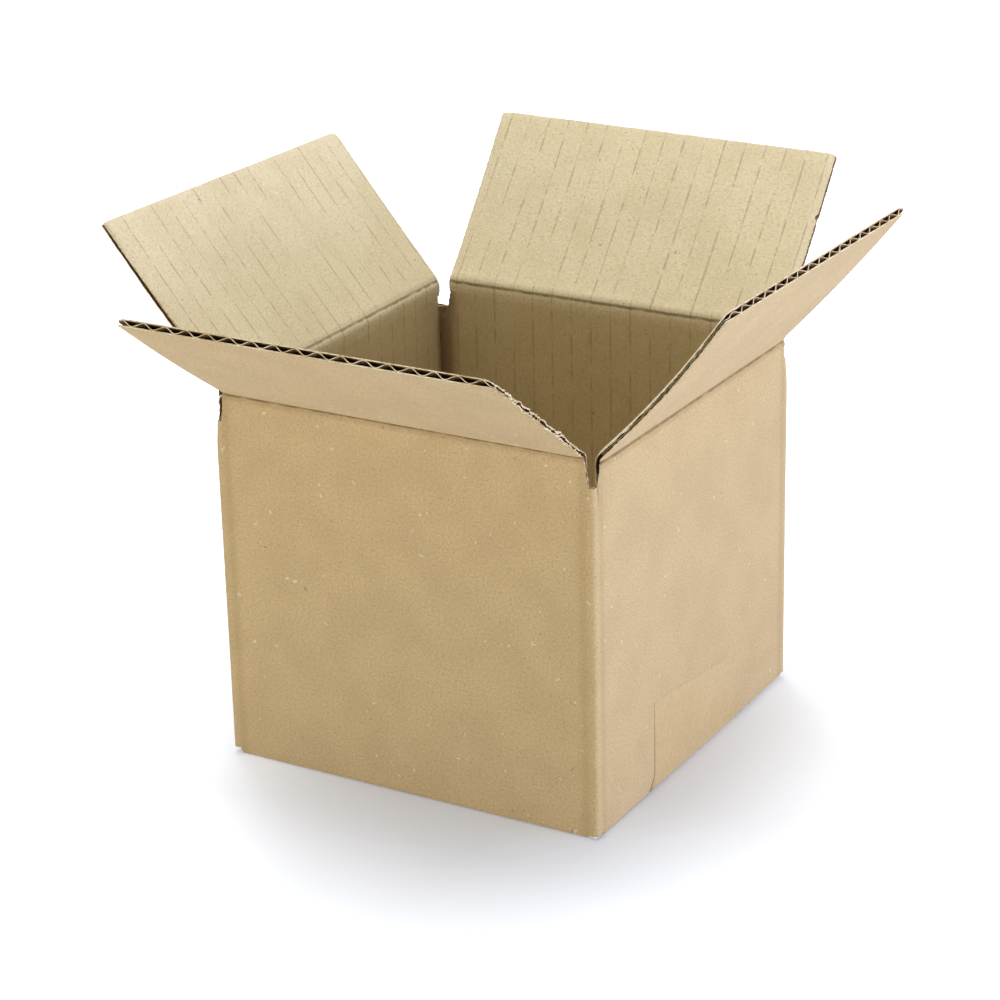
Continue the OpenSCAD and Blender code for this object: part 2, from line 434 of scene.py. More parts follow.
@dataclass(frozen=True)
class KraftPaper:
    """Face of a kraft facing sheet: mottled fibres, specks, flute lines and scored creases, with painted
    shade at creases, beside corners and on inside walls.

    Widths on the board are counted in flutes, and scales of patterns in repeats a metre.
    """

    name: str
    colour: Colour
    light_fibre: Colour = (228, 208, 172)
    dark_fibre: Colour = (160, 130, 88)
    # Dark colour of the flute lines, and of the painted shade at creases.
    flute_and_crease_shade_colour: Colour = (124, 93, 42)
    # Colours of painted shade: a light one, and a deep one for strong shade in corners.
    light_shade_colour: Colour = (164, 132, 76)
    deep_shade_colour: Colour = (84, 54, 28)
    specks: tuple[Speck, ...] = (
        Speck(420.0, 0.16, 0.92, (250, 240, 214)),
        Speck(230.0, 0.075, 0.972, (252, 244, 222)),
        Speck(330.0, 0.11, 0.95, (120, 90, 54)),
    )
    speck_strength: float = 0.5
    speck_wander: float = 0.0018
    mottle: float = 0.5
    cloud_per_metre: float = 70.0
    cloud_share: float = 0.16
    grain_per_metre: float = 1500.0
    grain_share: float = 0.75
    flute_marks: float = 0.0
    washboard: float = 0.12
    # Painted shade at a crease: the line's strength and half width, and the band's strength.
    crease_shade_line: float = 0.9
    crease_half: float = 0.115
    crease_shade_band: float = 0.2
    crease_dent: float = 0.5
    most_light_shade: float = 0.42
    roughness: float = 0.8
    roughness_range: float = 0.06
    bump_depth: float = 0.00012
    shine: float = 0.35
    sheen: float = 0.2

    def material(self) -> bpy.types.Material:
        """Makes the material.

        Returns:
            The material.
        """
        g = Graph(bpy.data.materials.new(self.name))
        place = g.object_place()
        board, across, along = g.board_place()
        tone = self._fibres(g, place, board)
        cloud = g.noise(place, self.cloud_per_metre, 2.0)
        dark = linear(self.dark_fibre)
        pale = g.ramp(tone, 0.5, 0.72, 0.0, self.mottle)
        colour = g.blend(pale, linear(self.colour), linear(self.light_fibre))
        colour = g.blend(g.ramp(tone, 0.5, 0.28, 0.0, self.mottle), colour, dark)
        colour = g.blend(g.ramp(cloud, 0.35, 0.65, 0.0, self.mottle * self.cloud_share), colour, dark)
        colour = self._specks(g, place, colour)
        if self.flute_marks > 0:
            colour = self._flute_marks(g, across, along, colour)
        colour, score = self._crease(g, across, along, colour)
        # Painted shade: a capped light shade, and a deep shade where the painted shade is strong.
        light_shade = g.math("MINIMUM", g.times(g.mark(), 2.0), self.most_light_shade)
        deep_shade = g.math("MULTIPLY_ADD", g.mark(), 1.6, -0.4, clamp=True)
        colour = g.blend(light_shade, colour, linear(self.light_shade_colour))
        colour = g.blend(deep_shade, colour, linear(self.deep_shade_colour))
        ridge = g.math("COSINE", g.times(across, 2 * math.pi))
        height = g.math("MULTIPLY_ADD", ridge, self.washboard, tone)
        height = g.math("SUBTRACT", height, g.times(score, self.crease_dent))
        rough, either = self.roughness, self.roughness_range
        return g.surface(
            colour,
            g.ramp(tone, 0.3, 0.7, rough + either, rough - either),
            g.bump(height, 0.3, self.bump_depth),
            self.shine,
            {"Sheen Weight": self.sheen, "Sheen Roughness": 0.5},
        )

    def _fibres(self, g: Graph, place: Socket, board: Socket) -> Socket:
        """Mixes an even grain with fibres that lie across the flutes.

        Args:
            g: The material's nodes.
            place: Place on the object.
            board: Place on the board.

        Returns:
            The paper's tone, about 0.5.
        """
        grain = g.noise(place, self.grain_per_metre, 3.0, 0.75)
        drawn = g.node("ShaderNodeMapping", {"Vector": board, "Scale": (3.2, 9.0, 1.0)}).outputs[0]
        fibre = g.noise(drawn, 1.6, 5.0, 0.7)
        return g.math("ADD", g.times(grain, self.grain_share), g.times(fibre, 1 - self.grain_share))

    def _specks(self, g: Graph, place: Socket, colour: Socket) -> Socket:
        """Scatters small pale bits of fibre and fewer dark ones, with uneven outlines.

        Args:
            g: The material's nodes.
            place: Place on the object.
            colour: Colour of the paper.

        Returns:
            The colour with the bits on it.
        """
        wild = g.node("ShaderNodeTexNoise", {"Vector": place, "Scale": 900.0, "Detail": 0.0})
        push = {0: wild.outputs["Color"], 1: (self.speck_wander,) * 3, 2: place}
        uneven = g.node("ShaderNodeVectorMath", push, operation="MULTIPLY_ADD").outputs[0]
        for speck in self.specks:
            inputs = {"Vector": uneven, "Scale": speck.per_metre, "Randomness": 1.0}
            cell = g.node("ShaderNodeTexVoronoi", inputs).outputs
            pick = g.node("ShaderNodeSeparateColor", {0: cell["Color"]}).outputs[0]
            near = g.ramp(cell["Distance"], speck.size * 1.6, speck.size * 0.6)
            share = g.times(near, g.math("GREATER_THAN", pick, speck.share))
            colour = g.blend(g.times(share, self.speck_strength), colour, linear(speck.colour))
        return colour

    def _flute_marks(self, g: Graph, across: Socket, along: Socket, colour: Socket) -> Socket:
        """Draws a thin broken line where each flute's tip is glued to the sheet.

        Args:
            g: The material's nodes.
            across: Place across the flutes.
            along: Place along them.
            colour: Colour of the paper.

        Returns:
            The colour with the lines on it.
        """
        moved = g.math("ADD", across, 0.5)
        number = g.math("FLOOR", moved)
        away = g.math("ABSOLUTE", g.math("SUBTRACT", g.math("FRACT", moved), 0.5))
        shift = g.noise(g.vector(g.times(number, 3.1), g.times(along, 0.8)), 1.0, 2.0)
        away = g.math("ABSOLUTE", g.math("ADD", away, g.ramp(shift, 0.3, 0.7, -0.03, 0.03)))
        wander = g.noise(g.vector(g.times(number, 5.7), g.times(along, 1.5)), 1.0, 3.0)
        thin = g.ramp(away, 0.04, 0.008)
        broken = g.ramp(wander, 0.33, 0.52)
        share = g.times(g.times(thin, broken), self.flute_marks)
        return g.blend(share, colour, linear(self.flute_and_crease_shade_colour))

    def _crease(self, g: Graph, across: Socket, along: Socket, colour: Socket) -> tuple[Socket, Socket]:
        """Paints shade at a top crease: a dark line on the score, and a darker band under it.

        Args:
            g: The material's nodes.
            across: Place across the flutes.
            along: Place along them, from the crease.
            colour: Colour of the paper.

        Returns:
            The colour with the crease on it, and where the score is.
        """
        waver = g.noise(g.vector(g.times(across, 1.4), along), 1.0, 3.0)
        shifted = g.math("ADD", along, g.ramp(waver, 0.3, 0.7, -0.012, 0.012))
        # Painted shade: a dark line on the score, and a darker band just under it.
        line = g.ramp(g.math("ABSOLUTE", shifted), self.crease_half, self.crease_half * 0.25)
        below = g.times(g.ramp(shifted, -0.42, -0.1), g.math("LESS_THAN", shifted, 0.0))
        strength = g.times(line, g.ramp(waver, 0.25, 0.6, 0.5, 1.0))
        share = g.math("MAXIMUM", g.times(strength, self.crease_shade_line), g.times(below, self.crease_shade_band))
        return g.blend(share, colour, linear(self.flute_and_crease_shade_colour)), line


@dataclass(frozen=True)
class RoughPaper:
    """Paper away from the smooth faces: cut edges, the waved sheet and hidden sides.

    Its tone is a fine grain, mixed with larger patches where it has them.
    """

    name: str
    colour: Colour
    dark: Colour
    grain_per_metre: float = 700.0
    grain_roughness: float = 0.65
    patches: float = 0.0
    patches_per_metre: float = 260.0
    light_end: float = 0.66
    dark_end: float = 0.34
    least_rough: float = 0.88
    bump: float = 0.4

    def material(self) -> bpy.types.Material:
        """Makes the material.

        Returns:
            The material.
        """
        g = Graph(bpy.data.materials.new(self.name))
        place = g.object_place()
        grain = g.noise(place, self.grain_per_metre, 4.0, self.grain_roughness)
        tone = grain
        if self.patches > 0:
            patch = g.noise(place, self.patches_per_metre, 2.0)
            tone = g.math("MULTIPLY_ADD", grain, 1 - self.patches, g.times(patch, self.patches))
        share = g.ramp(tone, self.light_end, self.dark_end)
        colour = g.blend(share, linear(self.colour), linear(self.dark))
        rough = g.ramp(tone, 0.3, 0.7, 0.95, self.least_rough)
        return g.surface(colour, rough, g.bump(grain, self.bump, 0.0001), 0.2)


@dataclass(frozen=True)
class TapeFilm:
    """Thin tape pressed onto kraft board: its colour shows through a soft sheen."""

    name: str = "tape_film"
    colour: Colour = (206, 179, 131)
    dark: Colour = (184, 156, 108)
    # Colour of the painted shadow at the tape's edges and in its fold.
    edge: Colour = (112, 86, 54)
    cloud_per_metre: float = 90.0
    cloud_share: float = 0.3
    grain_per_metre: float = 900.0
    mottle: float = 0.35
    roughness: float = 0.55
    roughness_range: float = 0.08
    shine: float = 0.4
    coat: float = 0.08

    def material(self) -> bpy.types.Material:
        """Makes the material.

        Returns:
            The material.
        """
        g = Graph(bpy.data.materials.new(self.name))
        place = g.object_place()
        cloud = g.noise(place, self.cloud_per_metre, 3.0)
        grain = g.noise(place, self.grain_per_metre, 3.0, 0.6)
        tone = g.math("MULTIPLY_ADD", grain, 1 - self.cloud_share, g.times(cloud, self.cloud_share))
        colour = g.blend(g.ramp(tone, 0.62, 0.38, 0.0, self.mottle), linear(self.colour), linear(self.dark))
        # Painted shadow along the tape's edges and in the gap at its fold.
        colour = g.blend(g.mark(), colour, linear(self.edge))
        rough, either = self.roughness, self.roughness_range
        return g.surface(
            colour,
            g.ramp(tone, 0.3, 0.7, rough + either, rough - either),
            g.bump(tone, 0.05, 0.0001),
            self.shine,
            {"Coat Weight": self.coat, "Coat Roughness": 0.4},
        )


class Finishes:
    """The materials of the box, made once and shared by its pieces."""

    def __init__(self) -> None:
        """Makes every material of the board and the tape."""
        self.outside = KraftPaper("kraft_outside", (206, 180, 133), mottle=0.85).material()
        self.inside = KraftPaper(
            "kraft_inside",
            (230, 215, 176),
            light_fibre=(246, 236, 208),
            dark_fibre=(188, 164, 118),
            flute_and_crease_shade_colour=(104, 84, 44),
            # Painted shade colours of the inside walls and corners.
            light_shade_colour=(148, 114, 6),
            deep_shade_colour=(92, 48, 22),
            mottle=0.9,
            flute_marks=0.36,
            crease_shade_line=0.75,
            crease_half=0.062,
            crease_shade_band=0.0,
        ).material()
        self.core = RoughPaper("board_core", (158, 126, 84), (112, 84, 50)).material()
        self.flute = RoughPaper("flute_paper", (170, 140, 96), (118, 90, 56)).material()
        self.cut = RoughPaper(
            "cut_edge",
            (242, 227, 194),
            (190, 163, 118),
            grain_per_metre=1500.0,
            grain_roughness=0.7,
            patches=0.4,
            light_end=0.62,
            dark_end=0.36,
            least_rough=0.85,
            bump=0.6,
        ).material()
        self.tape = TapeFilm().material()

    def board(self) -> list[bpy.types.Material]:
        """Materials of a piece of board, in the order of the numbers in Paint."""
        return [self.outside, self.inside, self.core, self.flute, self.cut]


# The board.


@dataclass(frozen=True)
class Board:
    """Single-wall corrugated board."""

    thickness: float = 2.2
    liner: float = 0.33
    medium: float = 0.23

    @property
    def wave(self) -> float:
        """Half the height of the waved sheet's middle line."""
        return (self.thickness - 2 * self.liner - self.medium) / 2


@dataclass(frozen=True)
class Wall:
    """One wall and its flaps, drawn as the front wall and turned into its place.

    Along is the distance from the wall's middle towards its right end, seen from outside,
    and depth the distance behind its outer face.
    """

    side: Side
    crease_h: float
    floor_z: float
    start_inset: float
    end_inset: float
    splay_deg: float
    tip_at: float
    flute_pitch: float = 6.5
    flute_start: int = 0
    twist_deg: float = 0.0
    fold_drop: Ends = (0.0, 0.0)
    crush: float = 0.42
    slot_crush: float = 0.78
    crush_width: float = 1.5
    crush_from: float = 0.3
    crush_from_end: float = 0.3
    half_run: float = 58.0
    half_depth: float = 58.0

    @property
    def start(self) -> float:
        """Where the flaps' left side edge stands."""
        return self.start_inset - self.half_run

    @property
    def end(self) -> float:
        """Where the flaps' right side edge stands."""
        return self.half_run - self.end_inset

    def share(self, along: Array) -> Array:
        """Place along the flap's width, 0 at its left side edge and 1 at its right."""
        return (np.asarray(along) - self.start) / (self.end - self.start)

    def place(self, along: Array, depth: Array, height: Array) -> Array:
        """Turns a place on the wall into a place in the box's frame.

        Args:
            along: Distance from the wall's middle.
            depth: Distance behind the outer face.
            height: Height above the ground.

        Returns:
            Points, with a last axis of three.
        """
        turn = math.radians(self.side.value)
        x, y, z = np.broadcast_arrays(along, depth - self.half_depth, height)
        across = x * math.cos(turn) - y * math.sin(turn)
        back = x * math.sin(turn) + y * math.cos(turn)
        return np.stack([across, back, z], axis=-1)

    def crushed(self, along: Array, depth: Array, thickness: float, crush: float | None = None) -> Array:
        """Depths near a slot, where the slotting knife has crushed the board thinner.

        The share left is 1 - crush x bell(distance from the side edge), and the sheets
        close on a plane at a share of the thickness from the outer face.

        Args:
            along: Distance from the wall's middle.
            depth: Depth in the sound board.
            thickness: Thickness of the sound board.
            crush: Share of the thickness lost at the edge, or None for the flap's own.

        Returns:
            The depth in the crushed board.
        """
        near = hump(along, self.start, self.crush_width) + hump(along, self.end, self.crush_width)
        left = 1 - (self.crush if crush is None else crush) * near
        plane = np.where(np.asarray(along) < 0, self.crush_from, self.crush_from_end)
        return depth * left + thickness * plane * (1 - left)

    def splay(self, along: Array) -> Array:
        """The top flap's lean from upright in radians, which a twist changes along the wall."""
        return np.radians(self.splay_deg + self.twist_deg * np.asarray(along) / self.half_run)

    def leaf(self, along: Array, reach: Array, offset: Array, lean: Array | None = None) -> Array:
        """A place on the top flap, turned outwards about the crease on the outer face.

        Depth is offset x cos(lean) - reach x sin(lean), and height above the crease is
        offset x sin(lean) + reach x cos(lean).

        Args:
            along: Distance from the wall's middle.
            reach: Distance from the crease along the flap.
            offset: Distance under the flap's outer face.
            lean: Angle from upright, or None for the flap's own.

        Returns:
            Points, with a last axis of three.
        """
        angle = self.splay(along) if lean is None else lean
        depth = offset * np.cos(angle) - reach * np.sin(angle)
        height = self.crease_h + offset * np.sin(angle) + reach * np.cos(angle)
        return self.place(along, depth, height)

    def flutes(self, along: Array) -> Array:
        """Place along the wall counted in flutes, a whole number where a tip meets the inner sheet."""
        return (np.asarray(along) - self.tip_at) / self.flute_pitch + self.flute_start

    def board_place(self, along: Array, from_crease: Array) -> Array:
        """Place on the board in flutes, across them and along them from the top crease."""
        across, run = np.broadcast_arrays(self.flutes(along), np.asarray(from_crease) / self.flute_pitch)
        return np.stack([across, run], axis=-1)


def wave_skin(wall: Wall, board: Board, along: Array) -> tuple[Array, Array]:
    """Middle line of the waved sheet and the slope across it.

    Depth is half the board plus wave x cos(2 pi x flutes).

    Args:
        wall: The wall that the sheet belongs to.
        board: The board.
        along: Distance from the wall's middle.

    Returns:
        The depth of the middle line, and its slope.
    """
    phase = 2 * np.pi * wall.flutes(along)
    depth = board.thickness / 2 + board.wave * np.cos(phase)
    slope = -board.wave * 2 * np.pi / wall.flute_pitch * np.sin(phase)
    return depth, slope


# Walls and bottom flaps.


@dataclass
class CartonTube:
    """The four walls, their rounded corners and the bottom flaps, bent from one blank.

    A painted shade at a corner is given by its strength, its distance from the corner's middle and its
    width.
    """

    walls: list[Wall]
    board: Board
    slot_z: float = 99.0
    floor_reach: float = 55.0
    fold_out_r: float = 0.9
    fold_in_r: float = 0.3
    corner_r: float = CORNER_R
    corner_score: float = 0.4
    corner_score_width: float = 2.2
    corner_out_r: float = 0.9
    corner_columns: int = 10
    # Painted shade: all over the inside walls, beside the outer corners, and deep in the inner corners.
    inner_shade: float = 0.19
    corner_shade: tuple[float, float, float] = (0.14, 3.0, 1.4)
    fold_shades: tuple[tuple[float, float, float], ...] = ((0.52, -3.4, 3.5), (0.1, -3.0, 6.0))
    strip_half: float = 3.0
    column_step: float = 2.4
    wave_columns: float = 0.5
    torn: float = 0.3
    torn_step: float = 0.6
    torn_width: float = 1.4
    torn_seed: int = 11
    slot_taper: float = 1.1
    outer_roll: float = 0.2
    sag_width: float = 2.4
    near_slot: tuple[float, ...] = (0.3, 0.7, 1.3, 2.1, 3.0, 4.2)
    floor_rows: tuple[float, ...] = (0.0, 0.25, 0.5, 0.75, 0.95, 0.978, 0.985, 0.992)
    slot_rows: tuple[float, ...] = (0.08, 0.18, 0.3, 0.42, 0.54, 0.66, 0.76, 0.84, 0.9, 0.95, 1.0)
    wave_rows: tuple[float, ...] = (0.0, 0.5, 1.0, 1.5, 2.0, 2.5, 3.0, 4.0)

    def _columns(self, step: float) -> Columns:
        """Places round the box, wall by wall: straight places, then those of the corner's arc.

        Args:
            step: Greatest distance between two straight places.

        Returns:
            The columns, in order round the box.
        """
        numbers, places, turns = [], [], []
        arc = np.linspace(0, math.pi / 2, self.corner_columns + 1)[1:]
        for number, wall in enumerate(self.walls):
            reach = wall.half_run - self.corner_r
            flap = spread(wall.start, wall.end, step, self.near_slot)
            straight = np.unique(np.concatenate([[-reach], flap, [reach]]).round(5))
            straight = straight[(straight >= -reach) & (straight <= reach)]
            numbers.append(np.full(straight.size + arc.size, number))
            places.append(np.concatenate([straight, np.full(arc.size, reach)]))
            turns.append(np.concatenate([np.zeros(straight.size), arc]))
        return np.concatenate(numbers), np.concatenate(places), np.concatenate(turns)

    def _sheet(
        self, columns: Columns, depth: Array, rows: Array, top_gap: float
    ) -> tuple[Array, Array, Array]:
        """Points of one surface of the blank at a depth below the outer face.

        A row is a number: 0 to 1 is the bottom flap from its free edge to the fold, 1 to 2
        the fold, 2 to 3 the wall up to the slots' floor, and 3 to 4 from there to the crease.
        The fold is an arc that touches the flap and the wall, and its radius goes from the
        outer to the inner one with depth.

        Args:
            columns: Places round the box.
            depth: Depth at each column, or one for all.
            rows: Row numbers.
            top_gap: Distance from the crease to the last row.

        Returns:
            Points, places on the board, and which cells are board.
        """
        number, along, turn = columns
        walls = self.walls
        sizes = np.array([(w.floor_z, w.crease_h, w.start, w.end, *w.fold_drop) for w in walls])
        floor_z, crease, start, end, first_drop, last_drop = sizes[number].T[:, :, None]
        post_low = (sizes[:, 0] - sizes[:, 4])[(number + 1) % len(walls)][:, None]
        side, bend, row = along[:, None], turn[:, None], rows[None, :]
        panel = (bend == 0) & (side >= start - SAME_PLACE) & (side <= end + SAME_PLACE)
        drop = mix(first_drop, last_drop, side / (end - start) + 0.5)
        plain = np.broadcast_to(np.asarray(depth, float), along.shape)[:, None]
        share = plain / self.board.thickness
        radius = mix(self.fold_out_r, self.fold_in_r, share)
        deep = plain * self._corner_crush(along, turn)[:, None]
        fold = np.clip(row - 1, 0, 1) * math.pi / 2
        own_low = floor_z - np.where(bend > 0, last_drop, drop)
        post = mix(own_low, post_low, bend / (math.pi / 2))
        low = np.where(panel, floor_z - drop + deep + radius, post + deep)
        floor_in = mix(self.floor_reach, deep + radius, np.clip(row, 0, 1))
        sag = drop * (1 - smooth_step((floor_in - deep - radius) / self.sag_width))
        heights = (
            floor_z + deep - sag,
            floor_z - drop + deep + radius - radius * np.cos(fold),
            mix(low, self.slot_z, np.clip(row - 2, 0, 1)),
        )
        top = mix(self.slot_z, crease - top_gap, np.clip(row - 3, 0, 1))
        height = np.select([row <= 1, row <= 2, row <= 3], heights, top)
        fold_in = deep + radius - radius * np.sin(fold)
        upper = self._upper_depth(number, along, deep, plain, row)
        inward = np.select([row <= 1, row <= 2], [floor_in, fold_in], upper)
        inward = inward - self._roll(row, height - crease, share)
        along_rows = self._torn_slots(side, start, end, row, height)
        points, flutes = self._turned(number, bend, along_rows, inward, height, share)
        from_crease = (height - inward * (row < 2) - crease) / walls[0].flute_pitch
        middle = (rows[:-1] + rows[1:]) / 2
        cells = (panel[:-1] & panel[1:]) | ((middle > 2) & (middle < 3))[None, :]
        return points, np.stack([flutes, from_crease], axis=-1), cells

    def _turned(
        self, number: Array, turn: Array, along: Array, inward: Array, height: Array, share: Array
    ) -> tuple[Array, Array]:
        """Turns each wall into its place, and bends its right corner round an arc.

        On the arc, a point stands at corner_r - depth, and the outer sheet's bulge, from
        the arc's middle.

        Args:
            number: The wall's number of each column.
            turn: Turn into the corner of each column.
            along: Place along the wall, columns by rows.
            inward: Depth behind the outer face, columns by rows.
            height: Height above the ground, columns by rows.
            share: Share of the board's thickness at each column, 0 at the outer face.

        Returns:
            Points, and their places counted in flutes.
        """
        points = np.zeros(height.shape + (3,))
        flutes = np.zeros(height.shape)
        for index, wall in enumerate(self.walls):
            mine = number == index
            spin = turn[mine]
            lean = self.corner_r - inward[mine] + self._corner_bulge(spin) * (1 - share[mine])
            arc_run = wall.half_run - self.corner_r + np.sin(spin) * lean
            arc_depth = self.corner_r - np.cos(spin) * lean
            run = np.where(spin > 0, arc_run, along[mine])
            points[mine] = wall.place(run, np.where(spin > 0, arc_depth, inward[mine]), height[mine])
            flutes[mine] = wall.flutes(along[mine] + spin * self.corner_r)
        return points, flutes

    def _from_corner(self, along: Array, turn: Array) -> Array:
        """Distance along the skin from the middle of the nearest corner's arc.

        Args:
            along: Place along the wall.
            turn: Turn into the corner.

        Returns:
            The distance, below zero on the wall that the corner ends.
        """
        half_arc = self.corner_r * math.pi / 4
        straight = self.walls[0].half_run - self.corner_r - np.abs(along) + half_arc
        away = np.where(turn > 0, np.abs(turn * self.corner_r - half_arc), straight)
        ends = (turn > 0) & (turn * self.corner_r < half_arc)
        return np.where(ends | ((turn == 0) & (along > 0)), -1, 1) * away

    def _corner_crush(self, along: Array, turn: Array) -> Array:
        """Share of the board's thickness left at an upright corner, which is scored before folding."""
        return 1 - self.corner_score * hump(self._from_corner(along, turn), 0.0, self.corner_score_width)

    def _corner_bulge(self, turn: Array) -> Array:
        """How far the outer sheet stands out of the corner's arc, as its own corner is sharper.

        A small arc of corner_out_r joins the two faces. From the middle of the large arc
        the faces lie at R / cos(turn), and the small arc, with its middle at (c, c), at
        b + sqrt(r^2 - 2 c^2 + b^2), where b = c (cos(turn) + sin(turn)).

        Args:
            turn: Turn into the corner, 0 to a quarter.

        Returns:
            The distance outside the large arc.
        """
        large, small = self.corner_r, self.corner_out_r
        part = np.minimum(turn, math.pi / 2 - turn)
        middle = large - small
        toward = middle * (np.cos(part) + np.sin(part))
        on_arc = toward + np.sqrt(np.maximum(small**2 - 2 * middle**2 + toward**2, 0))
        return np.where(part < math.atan2(middle, large), large / np.cos(part), on_arc) - large

    def _upper_depth(self, number: Array, along: Array, depth: Array, plain: Array, row: Array) -> Array:
        """Depths of the walls, which are crushed beside the top slots.

        Args:
            number: The wall's number of each column.
            along: Place along the wall.
            depth: Depth below the slots.
            plain: Depth in the sound board.
            row: Row numbers.

        Returns:
            Depths, columns by rows.
        """
        thick = self.board.thickness
        crushed = np.zeros_like(plain * row)
        high = smooth_step((row - 3.1) / 0.5)
        for index, wall in enumerate(self.walls):
            mine = number == index
            places, sound = along[mine][:, None], plain[mine]
            low_crush = wall.crushed(places, sound, thick, wall.slot_crush)
            crushed[mine] = mix(low_crush, wall.crushed(places, sound, thick), high)
        return mix(depth, crushed, np.clip((row - 2.93) / 0.07, 0, 1))

    def _roll(self, row: Array, from_crease: Array, share: Array) -> Array:
        """How far the outer sheet stands out just under a crease, where folding pushes it out."""
        swell = hump(from_crease, -1.4, 0.9) * (1 - hump(from_crease, 0.0, 0.5))
        return np.where(row > 3, self.outer_roll * swell * np.clip(1 - share * 4, 0, 1), 0.0)

    def _torn_slots(self, along: Array, start: Array, end: Array, row: Array, height: Array) -> Array:
        """Makes the upright edges beside the top slots uneven, and closer at a slot's floor.

        Each slot narrows by slot_taper x (1 - t)^1.6 a side, with t from 0 at its floor
        to 1 at the crease.

        Args:
            along: Place along the wall of each column.
            start: Where the flap starts.
            end: Where it ends.
            row: Row numbers.
            height: Height above the ground.

        Returns:
            The places along the wall, columns by rows.
        """
        jag = torn_line(height, self.torn, self.torn_step, self.torn_seed) * np.clip((row - 3) * 8, 0, 1)
        jag = jag * np.clip((4 - row) * 8, 0, 1)
        taper = self.slot_taper * (1 - np.clip(row - 3, 0, 1)) ** 1.6 * smooth_step((row - 2.9) / 0.1)
        near_end = fade(end - along, self.torn_width) * (along <= end + SAME_PLACE)
        near_start = fade(along - start, self.torn_width) * (along >= start - SAME_PLACE)
        return along + (jag + taper) * near_end - (jag[:, ::-1] + taper) * near_start

    def board_mesh(self) -> SkinMesh:
        """Builds the three sheets of the tube.

        Returns:
            The collected skins.
        """
        board = self.board
        mesh = SkinMesh()
        columns = self._columns(self.column_step)
        fold, upright = np.linspace(1, 2, 7), np.linspace(2, 3, 36)[1:]
        rows = np.concatenate([self.floor_rows, fold, upright, 3 + np.array(self.slot_rows)])
        face, places, cells = self._sheet(columns, 0.0, rows, 0.0)
        back = self._sheet(columns, board.liner, rows, board.liner)[0]
        mesh.add(face, back, places, Paint.OUTER_SHEET, cells, self._outer_painted_shade(columns, rows))
        gap = self.strip_half
        face, places, cells = self._sheet(columns, board.thickness, rows, gap)
        back = self._sheet(columns, board.thickness - board.liner, rows, gap)[0]
        mesh.add(face, back, places, Paint.INNER_SHEET, cells, self._inner_painted_shade(columns, rows))
        self._add_waved_sheet(mesh)
        return mesh

    def _outer_painted_shade(self, columns: Columns, rows: Array) -> Array:
        """Painted shade of the outer sheet beside the upright corners.

        Args:
            columns: Places round the box.
            rows: Row numbers.

        Returns:
            Marks from 0 to 1, columns by rows.
        """
        away = np.abs(self._from_corner(columns[1], columns[2]))
        strength, place, width = self.corner_shade
        return strength * hump(away, place, width)[:, None] * np.ones((1, rows.size))

    def _inner_painted_shade(self, columns: Columns, rows: Array) -> Array:
        """Painted shade of the inner sheet: deep in the upright corners, and a little all over.

        Args:
            columns: Places round the box.
            rows: Row numbers.

        Returns:
            Marks from 0 to 1, columns by rows.
        """
        past = self._from_corner(columns[1], columns[2])
        deep_shade = sum(strength * hump(past, place, width) for strength, place, width in self.fold_shades)
        light_shade = self.inner_shade * np.clip(0.7 + (4 - rows) * 1.5, 0, 1)
        return np.clip(deep_shade[:, None] + light_shade[None, :], 0, 1)

    def _add_waved_sheet(self, mesh: SkinMesh) -> None:
        """Adds the waved sheet, whose flutes stand upright in the walls.

        Args:
            mesh: The skins that it joins.
        """
        board = self.board
        columns = self._columns(self.wave_columns)
        number, along, turn = columns
        depth = np.full(along.shape, board.thickness / 2)
        for index, wall in enumerate(self.walls):
            mine = number == index
            depth[mine] = wave_skin(wall, board, along[mine] + turn[mine] * self.corner_r)[0]
        rows = np.array(self.wave_rows)
        half = board.medium / 2
        face, places, cells = self._sheet(columns, depth + half, rows, self.strip_half)
        back = self._sheet(columns, depth - half, rows, self.strip_half)[0]
        mesh.add(face, back, places, Paint.WAVED_SHEET, cells)


@dataclass
class GlueTab:
    """The tab of the back wall, glued to the inside of the right wall."""

    wall: Wall
    board: Board
    width: float = 30.0
    bevel: float = 8.0
    low: float = 6.1
    high: float = 98.6
    clear: float = 0.05
    glue: float = 0.02
    columns: int = 61
    rows: int = 12

    def add_to(self, mesh: SkinMesh) -> None:
        """Adds the tab's three sheets.

        Its ends slope: the height goes from low to high, each drawn in by the bevel at
        the tab's free edge.

        Args:
            mesh: The skins that it joins.
        """
        board, wall = self.board, self.wall
        root = wall.half_run - board.thickness - self.clear
        run = np.linspace(root - self.width, root, self.columns)
        drawn_in = self.bevel * ((root - run) / self.width)[:, None]
        rows = np.linspace(0, 1, self.rows)[None, :]
        height = mix(self.low + drawn_in, self.high - drawn_in, rows)
        along = run[:, None] + np.zeros_like(height)
        places = wall.board_place(along, height - wall.crease_h)

        def sheet(depth: Array) -> Array:
            """Points of the tab at a depth behind the right wall's inner face."""
            return wall.place(along, board.thickness + self.glue + depth, height)

        liner, thick = board.liner, board.thickness - self.clear
        mesh.add(sheet(0.0), sheet(liner), places, Paint.INNER_SHEET)
        mesh.add(sheet(thick), sheet(thick - liner), places, Paint.INNER_SHEET)
        middle = wave_skin(wall, board, along)[0]
        half = board.medium / 2
        mesh.add(sheet(middle + half), sheet(middle - half), places, Paint.WAVED_SHEET)


# Top flaps.


@dataclass(frozen=True)
class FlapCut:
    """How one flap was cut and how it has warped since.

    A pair gives a size at the flap's left side, seen from outside, and at its right.
    """

    reach: Ends = (55.0, 55.0)
    lean: Ends = (0.0, 0.0)
    curl: Ends = (0.0, 0.0)
    bend: Ends = (0.0, 0.0)
    torn: Ends = (0.1, 0.1)
    fray: Ends = (0.08, 0.08)
    corner_r: Ends = (0.4, 0.4)
    nick_at: float = 0.0
    tuck_end: float = 0.0
    crush_start: float = 0.0
    groove_shift: float = 0.0
    seed: int = 1


